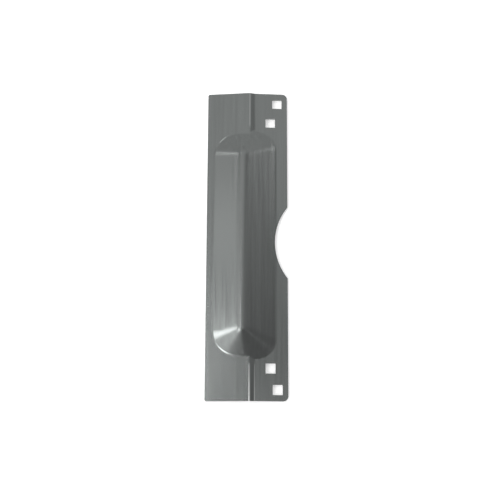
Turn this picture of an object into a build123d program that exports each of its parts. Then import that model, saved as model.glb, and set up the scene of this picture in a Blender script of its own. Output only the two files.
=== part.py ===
from build123d import *
from math import atan2, cos, degrees, radians, sin, tan
import os

# Latch protector plate: one steel sheet, pressed and punched, lying with its face up.
# Its flange is bolted to the outside of a door, its wing laps over the gap to the frame, and the
# bulge between them leaves room for the latch and the strike.
# X runs across the plate, from the wing to the flange, Y along it, and Z up out of its face.
# The back corners of both long edges lie on Z = 0. Lengths are millimetres and angles are degrees.

# Sheet and outline
plate_length = 295.3
plate_width = 76.2
sheet_thickness = 2.66
flange_corner_radius = 4.8
wing_corner_radius = 1.5

# Section across the plate: the wing and the flange rise from its long edges to a joggle
wing_slope = 6.9
flange_slope = 5.4
flange_width = 30.7
joggle_run = 4.9

# Bulge: a roof with hipped ends. Its foot is the outline where its flanks, carried down, reach the
# height of the long edges' face, and its crest the outline where they reach its full height, before
# any bend is rounded. Both lengths are along the plate's middle.
bulge_length = 230.4
bulge_width = 62.0
bulge_wing_corner_radius = 30.0
bulge_flange_corner_radius = 25.0
bulge_offset = -1.9
crest_height = 19.2
crest_length = 171.0
crest_width = 4.4
crest_end_flat = 0.7
crest_offset = -4.0
end_skew = 14.0

# Bends, each measured on its inside: the joggle's top and the crest at the back, the others on the face
joggle_top_radius = 2.2
joggle_foot_radius = 5.0
crest_radius = 2.8
rim_radius = 5.0

# Square holes for the necks of carriage bolts, and the notch that clears the lock cylinder
hole_size = 9.2
outer_hole_from_end = 10.2
outer_hole_from_edge = 9.7
inner_hole_from_end = 29.6
inner_hole_from_edge = 16.2
notch_radius = 55.0
notch_depth = 11.9

# Stock round the outline, and below it, that is cut away after the pressing
trim_allowance = 8.0

# Share of the room at the crest's corners that its bend may take
crest_bend_share = 0.95

# Places and slopes that follow from the sizes above
wing_edge = -plate_width / 2
flange_edge = plate_width / 2
joggle_foot = flange_edge - flange_width
joggle_top = joggle_foot - joggle_run
crest_rise = crest_height - sheet_thickness
side_run = (bulge_width - crest_width) / 2
end_run = (bulge_length - crest_length) / 2 * cos(radians(end_skew))
wing_flank_slope = degrees(atan2(crest_rise, side_run + crest_offset - bulge_offset))
flange_flank_slope = degrees(atan2(crest_rise, side_run - crest_offset + bulge_offset))
end_slope = degrees(atan2(crest_rise, end_run))
crest_corner_radius = (crest_width - crest_end_flat) / 2
steepest_slope = max(wing_flank_slope, flange_flank_slope, end_slope)
widest_crest_bend = crest_corner_radius / tan(radians(steepest_slope / 2))
crest_bend_radius = min(crest_radius + sheet_thickness, crest_bend_share * widest_crest_bend)


def wing_height(x):
    """Height of the wing's face at a place across the plate."""
    return sheet_thickness / cos(radians(wing_slope)) + (x - wing_edge) * tan(radians(wing_slope))


def flange_height(x):
    """Height of the flange's face at a place across the plate."""
    return sheet_thickness / cos(radians(flange_slope)) + (flange_edge - x) * tan(radians(flange_slope))


# Lines of the sheet's face and of its back across the plate
with BuildLine() as face_line:
    FilletPolyline(
        (wing_edge - trim_allowance, wing_height(wing_edge - trim_allowance)),
        (joggle_top, wing_height(joggle_top)),
        (joggle_foot, flange_height(joggle_foot)),
        (flange_edge + trim_allowance, flange_height(flange_edge + trim_allowance)),
        radius=(joggle_top_radius + sheet_thickness, joggle_foot_radius),
    )
with BuildLine() as back_line:
    offset(face_line.line, amount=sheet_thickness, side=Side.RIGHT, closed=False)


def roof_outline(middle, width, length, corner_radii, height, depth):
    """Level outline of the bulge, on the face or on a surface that lies deeper than it.

    The ends are turned so that their rim runs square across the wing. A deeper surface is lower by
    its depth, and each flank of it stands in by the depth times the tangent of half its slope.
    """
    wing_side = middle - width / 2 + depth * tan(radians(wing_flank_slope / 2))
    flange_side = middle + width / 2 - depth * tan(radians(flange_flank_slope / 2))
    end_inset = depth * tan(radians(end_slope / 2))
    end_at_middle = length / 2 - end_inset / cos(radians(end_skew))
    wing_corner = (wing_side, end_at_middle + wing_side * tan(radians(end_skew)))
    flange_corner = (flange_side, end_at_middle + flange_side * tan(radians(end_skew)))
    with BuildSketch(Plane.XY.offset(height - depth)) as outline:
        with BuildLine():
            half = Polyline((wing_side, 0), wing_corner, flange_corner, (flange_side, 0))
            mirror(half, about=Plane.XZ)
        make_face()
        for side, corner_radius in zip((0, -1), corner_radii):
            corners = outline.vertices().filter_by(lambda corner: corner.Y != 0)
            fillet(corners.group_by(Axis.X)[side], corner_radius - end_inset)
    return outline.sketch


def pressed_block(section_line, depth):
    """The solid under the pressed face, or under the back, which lies one thickness deeper."""
    foot_radii = (bulge_wing_corner_radius, bulge_flange_corner_radius)
    crest_radii = (crest_corner_radius, crest_corner_radius)
    foot = roof_outline(bulge_offset, bulge_width, bulge_length, foot_radii, sheet_thickness, depth)
    crest = roof_outline(crest_offset, crest_width, crest_length, crest_radii, crest_height, depth)
    with BuildPart() as block:
        with BuildSketch(Plane.XZ):
            with BuildLine():
                add(section_line)
                start = section_line @ 0
                end = section_line @ 1
                Polyline(start, (start.X, -trim_allowance), (end.X, -trim_allowance), end)
            make_face()
        slab = extrude(amount=plate_length / 2 + trim_allowance, both=True)
        roof = loft([foot, crest], ruled=True)
        fillet(new_edges(slab, roof, combined=block.part), rim_radius + depth)
        fillet(block.faces().sort_by(Axis.Z)[-1].edges(), crest_bend_radius - depth)
    return block.part


flange_plane = Plane(
    origin=(flange_edge, 0, flange_height(flange_edge)),
    x_dir=(cos(radians(flange_slope)), 0, -sin(radians(flange_slope))),
    z_dir=(sin(radians(flange_slope)), 0, cos(radians(flange_slope))),
)

with BuildPart() as plate:
    add(pressed_block(face_line.line, 0))
    add(pressed_block(back_line.line, sheet_thickness), mode=Mode.SUBTRACT)

    # Outline, trimmed after the pressing
    with BuildSketch():
        Rectangle(plate_width, plate_length)
        fillet(vertices().group_by(Axis.X)[0], wing_corner_radius)
        fillet(vertices().group_by(Axis.X)[-1], flange_corner_radius)
    extrude(amount=crest_height, both=True, mode=Mode.INTERSECT)

    # Notch in the flange's edge, halfway along it
    with BuildSketch(flange_plane):
        with Locations((notch_radius - notch_depth, 0)):
            Circle(notch_radius)
    extrude(amount=2 * sheet_thickness, both=True, mode=Mode.SUBTRACT)

    # Two square holes near each end of the flange
    with BuildSketch(flange_plane):
        for end in (-1, 1):
            with Locations(
                (-outer_hole_from_edge, end * (plate_length / 2 - outer_hole_from_end)),
                (-inner_hole_from_edge, end * (plate_length / 2 - inner_hole_from_end)),
            ):
                Rectangle(hole_size, hole_size)
    extrude(amount=2 * sheet_thickness, both=True, mode=Mode.SUBTRACT)

plate.part.label = "latch_protector_plate"
os.makedirs("parts", exist_ok=True)
export_step(plate.part, "parts/latch_protector_plate.step")
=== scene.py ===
from math import cos, pi, radians, sin

import bpy
from bpy.props import FloatProperty, FloatVectorProperty, PointerProperty
from mathutils import Matrix, Vector


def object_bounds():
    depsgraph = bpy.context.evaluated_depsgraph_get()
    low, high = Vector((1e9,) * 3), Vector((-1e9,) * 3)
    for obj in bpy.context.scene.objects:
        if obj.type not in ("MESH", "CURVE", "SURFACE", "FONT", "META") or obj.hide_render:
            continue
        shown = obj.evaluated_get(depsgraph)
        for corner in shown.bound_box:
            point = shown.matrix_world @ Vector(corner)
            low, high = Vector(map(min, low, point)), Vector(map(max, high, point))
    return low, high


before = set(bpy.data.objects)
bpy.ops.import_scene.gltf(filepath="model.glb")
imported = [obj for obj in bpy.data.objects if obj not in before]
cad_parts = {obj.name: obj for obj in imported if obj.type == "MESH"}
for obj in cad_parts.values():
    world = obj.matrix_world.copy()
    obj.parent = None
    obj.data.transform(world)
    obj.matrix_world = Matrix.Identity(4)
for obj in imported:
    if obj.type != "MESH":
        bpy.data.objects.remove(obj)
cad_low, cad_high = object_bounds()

# Latch protector plate: one pressed sheet of satin steel, lying face up on a pale floor.
# X runs across the plate from the wing to the flange, Y along it towards its far end, and Z up.
# Lengths are metres, except where a comment says millimetres.

bl_info = {
    "name": "Latch Protector Plate",
    "version": (1, 0, 0),
    "blender": (4, 5, 0),
    "location": "View3D > Sidebar > Latch Plate",
    "description": "Dresses a pressed steel latch protector plate and sets its stage",
    "category": "Object",
}

PLATE = "latch_protector_plate"
MILLIMETRE = 0.001
WHITE = (1.0, 1.0, 1.0, 1.0)

# Rolling streaks: how finely their noise is broken up, and the values of it between which they go
# from dark to light
STREAK_DETAIL = 2.0
STREAK_DARK = 0.3
STREAK_LIGHT = 0.7

# Painted highlights along the joggle's bends, a lighter base colour standing in for their reflections:
# place across the plate and width, in millimetres, and how bright the painted line is at the plate's near
# end and where it has faded
BEND_HIGHLIGHT_LINES = (
    (2.4, 2.6, 1.0, 0.12),
    (7.3, 1.6, 0.55, 0.0),
)
# Places along the plate, from its middle, in millimetres: where the joggle starts to come out of the
# bulge's ends, where it is clear of them, and where the painted highlight of the near end has faded
JOGGLE_STARTS = 112.0
JOGGLE_CLEAR = 116.0
BEND_HIGHLIGHT_FADED = 100.0

# Heights, in millimetres: above the first lies only the bulge, and above the second its hips are
# softened in full
BULGE_ABOVE = 9.0
HIPS_ABOVE = 11.0
# Rays with which the renderer looks for a hip near each point
HIP_SAMPLES = 12

# Width of the camera's sensor, in millimetres
SENSOR_WIDTH = 36.0

# Lamps, all far off: name, azimuth from +X, elevation, width across the sky, and brightness where
# white is 1. Angles are degrees.
LAMPS = (
    ("far_sky", 105, 18, 164, 0.20),
    ("far_wall", 95, 31, 99, 0.28),
    ("far_top_wall", 95, 55, 50, 0.14),
    ("left_wall", 200, 47, 51, 0.90),
    ("left_strip", 164, 38, 13, 0.60),
    ("left_window", 180, 23, 14, 5.20),
    ("far_left_window", 160, 24, 12, 0.36),
    ("far_left_gap", 165, 23, 5, 1.50),
    ("far_left_lamp", 152, 24, 5, 6.50),
    ("far_strip", 129, 41, 6, 4.00),
    ("near_left_window", 209, 48, 18, 5.20),
    ("near_wall", 215, 16, 81, 0.54),
    ("far_right_window", 27, 20, 16, 3.40),
    ("near_right_lamp", -19, 48, 9, 0.60),
    ("left_top_lamp", 164, 67, 5, 15.00),
    ("near_top_lamp", -35, 83, 16, 1.10),
)


def linear(hex_colour):
    """Linear red, green and blue of an sRGB hex colour."""
    channels = [int(hex_colour[i:i + 2], 16) / 255 for i in (1, 3, 5)]
    return tuple(c / 12.92 if c <= 0.04045 else ((c + 0.055) / 1.055) ** 2.4 for c in channels)


def add_node(tree, kind, inputs, **settings):
    """Add a shader node: inputs are values, or outputs of other nodes to link, by socket."""
    node = tree.nodes.new(kind)
    for name, value in settings.items():
        setattr(node, name, value)
    for socket, value in inputs.items():
        if isinstance(value, bpy.types.NodeSocket):
            tree.links.new(value, node.inputs[socket])
        else:
            node.inputs[socket].default_value = value
    return node


class SteelSettings(bpy.types.PropertyGroup):
    """Finish of the plate's steel."""

    colour: FloatVectorProperty(
        name="Colour",
        description="Colour of the satin steel",
        subtype="COLOR",
        size=3,
        min=0.0,
        max=1.0,
        default=linear("#777a79"),
    )
    # Near-white colour painted along the joggle's bends as a highlight
    bend_highlight_colour: FloatVectorProperty(
        name="Bend Highlight Colour",
        description="Colour of the bends that the press tool has rubbed bright",
        subtype="COLOR",
        size=3,
        min=0.0,
        max=1.0,
        default=linear("#f4f6f5"),
    )
    roughness: FloatProperty(
        name="Roughness",
        description="How far the satin surface spreads its reflections",
        subtype="FACTOR",
        min=0.0,
        max=1.0,
        default=0.2,
    )
    hip_softness: FloatProperty(
        name="Hip Softness",
        description="How far the bends of the bulge are softened to each side",
        unit="LENGTH",
        default=7.0 * MILLIMETRE,
    )
    streak_width: FloatProperty(
        name="Streak Width",
        description="Width of one rolling streak",
        unit="LENGTH",
        default=2.2 * MILLIMETRE,
    )
    streak_length: FloatProperty(
        name="Streak Length",
        description="Length of one rolling streak",
        unit="LENGTH",
        default=80.0 * MILLIMETRE,
    )
    streak_depth: FloatProperty(
        name="Streak Depth",
        description="Depth of the rolling streaks",
        unit="LENGTH",
        precision=5,
        default=0.012 * MILLIMETRE,
    )
    streak_tone: FloatProperty(
        name="Streak Tone",
        description="How much lighter or darker a streak is than the steel round it",
        subtype="FACTOR",
        min=0.0,
        max=1.0,
        default=0.045,
    )
    streak_polish: FloatProperty(
        name="Streak Polish",
        description="How much smoother or rougher a streak is than the steel round it",
        subtype="FACTOR",
        min=0.0,
        max=1.0,
        default=0.12,
    )


class StageSettings(bpy.types.PropertyGroup):
    """Floor, light and camera."""

    floor_size: FloatProperty(
        name="Floor Size",
        description="Length of each side of the floor",
        unit="LENGTH",
        default=40.0,
    )
    floor_colour: FloatVectorProperty(
        name="Floor",
        description="Colour of the floor",
        subtype="COLOR",
        size=3,
        min=0.0,
        max=1.0,
        default=linear("#fbfbfb"),
    )
    floor_roughness: FloatProperty(
        name="Floor Roughness",
        description="How far the floor's paper spreads its reflections",
        subtype="FACTOR",
        min=0.0,
        max=1.0,
        default=0.9,
    )
    floor_glow: FloatProperty(
        name="Floor Glow",
        description="Light added to the floor where it is looked at, so that it reads as white",
        subtype="FACTOR",
        min=0.0,
        max=1.0,
        default=0.4,
    )
    surround: FloatProperty(
        name="Surround",
        description="Brightness of the plain studio all round, where white is 1",
        subtype="FACTOR",
        min=0.0,
        max=1.0,
        default=0.332,
    )
    camera_location: FloatVectorProperty(
        name="Camera",
        description="Place of the camera",
        subtype="XYZ",
        unit="LENGTH",
        default=(0.0122, -0.2106, 0.8977),
    )
    camera_pitch: FloatProperty(
        name="Pitch",
        description="Turn of the camera along the plate, away from looking straight down",
        subtype="ANGLE",
        default=radians(12.81),
    )
    camera_yaw: FloatProperty(
        name="Yaw",
        description="Turn of the camera across the plate",
        subtype="ANGLE",
        default=radians(-0.60),
    )
    camera_roll: FloatProperty(
        name="Roll",
        description="Turn of the camera about its own line of sight",
        subtype="ANGLE",
        default=radians(-0.19),
    )
    lens: FloatProperty(
        name="Lens",
        description="Focal length of the camera",
        unit="CAMERA",
        min=1.0,
        default=70.5,
    )


def rolling_streaks(tree, place, settings):
    """Long streaks along the plate, where the sheet was rolled, as noise from 0 to 1."""
    # Real streaks are finer than a tenth of a millimetre, and are drawn coarser so that they show
    across = 1 / settings.streak_width
    along = 1 / settings.streak_length
    stretched = add_node(tree, "ShaderNodeMapping", {"Vector": place, "Scale": (across, along, across)})
    noise = add_node(tree, "ShaderNodeTexNoise", {
        "Vector": stretched.outputs["Vector"],
        "Scale": 1.0,
        "Detail": STREAK_DETAIL,
    })
    return noise.outputs["Fac"]


def paint_bend_highlights(tree, colour, axes, settings):
    """The colour with painted highlights along the joggle's bends, most of all at the plate's near end.
    """
    from_middle = add_node(tree, "ShaderNodeMath", {0: axes.outputs["Y"]}, operation="ABSOLUTE")
    on_joggle = add_node(tree, "ShaderNodeMapRange", {
        "Value": from_middle.outputs["Value"],
        "From Min": JOGGLE_STARTS * MILLIMETRE,
        "From Max": JOGGLE_CLEAR * MILLIMETRE,
    })
    for across, width, near, faded in BEND_HIGHLIGHT_LINES:
        offset = add_node(tree, "ShaderNodeMath", {
            0: axes.outputs["X"],
            1: across * MILLIMETRE,
        }, operation="SUBTRACT")
        distance = add_node(tree, "ShaderNodeMath", {0: offset.outputs["Value"]}, operation="ABSOLUTE")
        line = add_node(tree, "ShaderNodeMapRange", {
            "Value": distance.outputs["Value"],
            "From Min": 0.0,
            "From Max": width / 2 * MILLIMETRE,
            "To Min": 1.0,
            "To Max": 0.0,
        }, interpolation_type="SMOOTHSTEP")
        strength = add_node(tree, "ShaderNodeMapRange", {
            "Value": axes.outputs["Y"],
            "From Min": cad_low[1],
            "From Max": -BEND_HIGHLIGHT_FADED * MILLIMETRE,
            "To Min": near,
            "To Max": faded,
        })
        joggle_line = add_node(tree, "ShaderNodeMath", {
            0: line.outputs["Result"],
            1: on_joggle.outputs["Result"],
        }, operation="MULTIPLY")
        share = add_node(tree, "ShaderNodeMath", {
            0: joggle_line.outputs["Value"],
            1: strength.outputs["Result"],
        }, operation="MULTIPLY")
        # Paint the highlight into the base colour, stronger at the near end
        mixed = add_node(tree, "ShaderNodeMixRGB", {
            "Fac": share.outputs["Value"],
            "Color1": colour,
            "Color2": (*settings.bend_highlight_colour, 1.0),
        })
        colour = mixed.outputs["Color"]
    return colour


def soft_hips(tree, axes, settings):
    """Normal with which the bulge runs softly into its hipped ends, while the rest stays crisp."""
    on_hips = add_node(tree, "ShaderNodeMapRange", {
        "Value": axes.outputs["Z"],
        "From Min": BULGE_ABOVE * MILLIMETRE,
        "From Max": HIPS_ABOVE * MILLIMETRE,
    })
    soft = add_node(tree, "ShaderNodeBevel", {"Radius": settings.hip_softness}, samples=HIP_SAMPLES)
    crisp = add_node(tree, "ShaderNodeNewGeometry", {})
    normal = add_node(tree, "ShaderNodeMixRGB", {
        "Fac": on_hips.outputs["Result"],
        "Color1": crisp.outputs["Normal"],
        "Color2": soft.outputs["Normal"],
    })
    return normal.outputs["Color"]


def satin_steel(settings):
    """Cold-rolled sheet steel, pressed cold and left satin."""
    # The rolls leave the sheet grey and finely lined, so it blurs what it mirrors into soft bands with
    # streaks along them, and the joggle's bends get painted highlights in a lighter base colour
    material = bpy.data.materials.new("satin_cold_rolled_steel")
    material.use_nodes = True
    tree = material.node_tree
    shader = tree.nodes["Principled BSDF"]
    shader.inputs["Metallic"].default_value = 1.0
    place = add_node(tree, "ShaderNodeTexCoord", {}).outputs["Object"]
    axes = add_node(tree, "ShaderNodeSeparateXYZ", {"Vector": place})
    streaks = rolling_streaks(tree, place, settings)

    # A dark streak is a little smoother than a light one
    tones = add_node(tree, "ShaderNodeValToRGB", {"Fac": streaks})
    for element, position, change in zip(tones.color_ramp.elements, (STREAK_DARK, STREAK_LIGHT), (-1, 1)):
        element.position = position
        element.color = (*[c * (1 + change * settings.streak_tone) for c in settings.colour], 1.0)
    polish = add_node(tree, "ShaderNodeMapRange", {
        "Value": streaks,
        "From Min": STREAK_DARK,
        "From Max": STREAK_LIGHT,
        "To Min": settings.roughness * (1 - settings.streak_polish),
        "To Max": settings.roughness * (1 + settings.streak_polish),
    })
    lined = add_node(tree, "ShaderNodeBump", {
        "Height": streaks,
        "Distance": settings.streak_depth,
        "Normal": soft_hips(tree, axes, settings),
    })

    # Painted highlights along the joggle's bends
    colour = paint_bend_highlights(tree, tones.outputs["Color"], axes, settings)
    tree.links.new(colour, shader.inputs["Base Color"])
    tree.links.new(polish.outputs["Result"], shader.inputs["Roughness"])
    tree.links.new(lined.outputs["Normal"], shader.inputs["Normal"])
    return material


def white_paper(settings):
    """Matt white backing paper, with a little light of its own so that it photographs white."""
    # Uncoated paper has no shine, so the floor is an even white that shows nothing but the shadow
    material = bpy.data.materials.new("matt_white_paper")
    material.use_nodes = True
    tree = material.node_tree
    shader = tree.nodes["Principled BSDF"]
    shader.inputs["Base Color"].default_value = (*settings.floor_colour, 1.0)
    shader.inputs["Roughness"].default_value = settings.floor_roughness
    shader.inputs["Emission Color"].default_value = WHITE
    ray = add_node(tree, "ShaderNodeLightPath", {})
    seen = ray.outputs["Is Camera Ray"]
    for kind in ("Is Glossy Ray", "Is Transmission Ray"):
        either = add_node(tree, "ShaderNodeMath", {0: seen, 1: ray.outputs[kind]}, operation="MAXIMUM")
        seen = either.outputs["Value"]
    glow = add_node(tree, "ShaderNodeMath", {0: seen, 1: settings.floor_glow}, operation="MULTIPLY")
    tree.links.new(glow.outputs["Value"], shader.inputs["Emission Strength"])
    return material


def sky_direction(azimuth, elevation):
    """Direction to a place in the sky, from its angles in degrees."""
    level = cos(radians(elevation))
    return Vector((
        level * cos(radians(azimuth)),
        level * sin(radians(azimuth)),
        sin(radians(elevation)),
    ))


class PLATE_OT_dress(bpy.types.Operator):
    """Give the plate its satin steel."""

    bl_idname = "latch_plate.dress"
    bl_label = "Dress the Plate"

    def execute(self, context):
        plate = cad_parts[PLATE]
        plate.data.materials[0] = satin_steel(context.scene.latch_plate_steel)
        return {"FINISHED"}


class PLATE_OT_stage(bpy.types.Operator):
    """Lay the floor, hang the lamps and set the camera."""

    bl_idname = "latch_plate.stage"
    bl_label = "Set the Stage"

    def execute(self, context):
        settings = context.scene.latch_plate_stage
        self.lay_floor(context, settings)
        self.hang_lamps(context, settings)
        self.set_camera(context, settings)
        context.scene.view_settings.view_transform = "Standard"
        return {"FINISHED"}

    def lay_floor(self, context, settings):
        """Lay a sheet of white paper under the plate."""
        bpy.ops.mesh.primitive_plane_add(size=settings.floor_size)
        floor = context.object
        floor.name = "floor"
        floor.data.materials.append(white_paper(settings))

    def hang_lamps(self, context, settings):
        """Light the plate from a plain studio all round and from lamps far off in its sky."""
        world = bpy.data.worlds.new("plain_studio")
        world.use_nodes = True
        background = world.node_tree.nodes["Background"]
        background.inputs["Color"].default_value = WHITE
        background.inputs["Strength"].default_value = settings.surround
        context.scene.world = world
        for name, azimuth, elevation, width, brightness in LAMPS:
            lamp = bpy.data.lights.new(name, "SUN")
            lamp.angle = radians(width)
            # A disc of this width and brightness gives this much light to what faces it
            lamp.energy = brightness * pi * sin(radians(width / 2)) ** 2
            holder = bpy.data.objects.new(name, lamp)
            holder.rotation_mode = "QUATERNION"
            holder.rotation_quaternion = sky_direction(azimuth, elevation).to_track_quat("Z", "Y")
            context.scene.collection.objects.link(holder)

    def set_camera(self, context, settings):
        """Stand the camera where the photo was taken."""
        view = bpy.data.cameras.new("photo_camera")
        view.lens = settings.lens
        view.sensor_width = SENSOR_WIDTH
        holder = bpy.data.objects.new("photo_camera", view)
        turn = (
            Matrix.Rotation(settings.camera_roll, 3, "Z")
            @ Matrix.Rotation(-settings.camera_pitch, 3, "X")
            @ Matrix.Rotation(settings.camera_yaw, 3, "Y")
        )
        holder.matrix_world = Matrix.Translation(settings.camera_location) @ turn.transposed().to_4x4()
        context.scene.collection.objects.link(holder)
        context.scene.camera = holder


class PLATE_PT_panel(bpy.types.Panel):
    """Lists the plate's settings and steps."""

    bl_idname = "PLATE_PT_panel"
    bl_label = "Latch Plate"
    bl_space_type = "VIEW_3D"
    bl_region_type = "UI"
    bl_category = "Latch Plate"

    def draw(self, context):
        layout = self.layout
        for group in (context.scene.latch_plate_steel, context.scene.latch_plate_stage):
            for name in group.__annotations__:
                layout.prop(group, name)
        layout.operator(PLATE_OT_dress.bl_idname)
        layout.operator(PLATE_OT_stage.bl_idname)


CLASSES = (SteelSettings, StageSettings, PLATE_OT_dress, PLATE_OT_stage, PLATE_PT_panel)


def register():
    """Add the settings, steps and panel to Blender."""
    for cls in CLASSES:
        bpy.utils.register_class(cls)
    bpy.types.Scene.latch_plate_steel = PointerProperty(type=SteelSettings)
    bpy.types.Scene.latch_plate_stage = PointerProperty(type=StageSettings)


def unregister():
    """Take the settings, steps and panel out again."""
    del bpy.types.Scene.latch_plate_stage
    del bpy.types.Scene.latch_plate_steel
    for cls in reversed(CLASSES):
        bpy.utils.unregister_class(cls)


def main():
    """Dress the plate and set its stage."""
    register()
    bpy.ops.latch_plate.dress()
    bpy.ops.latch_plate.stage()


if __name__ == "__main__":
    main()
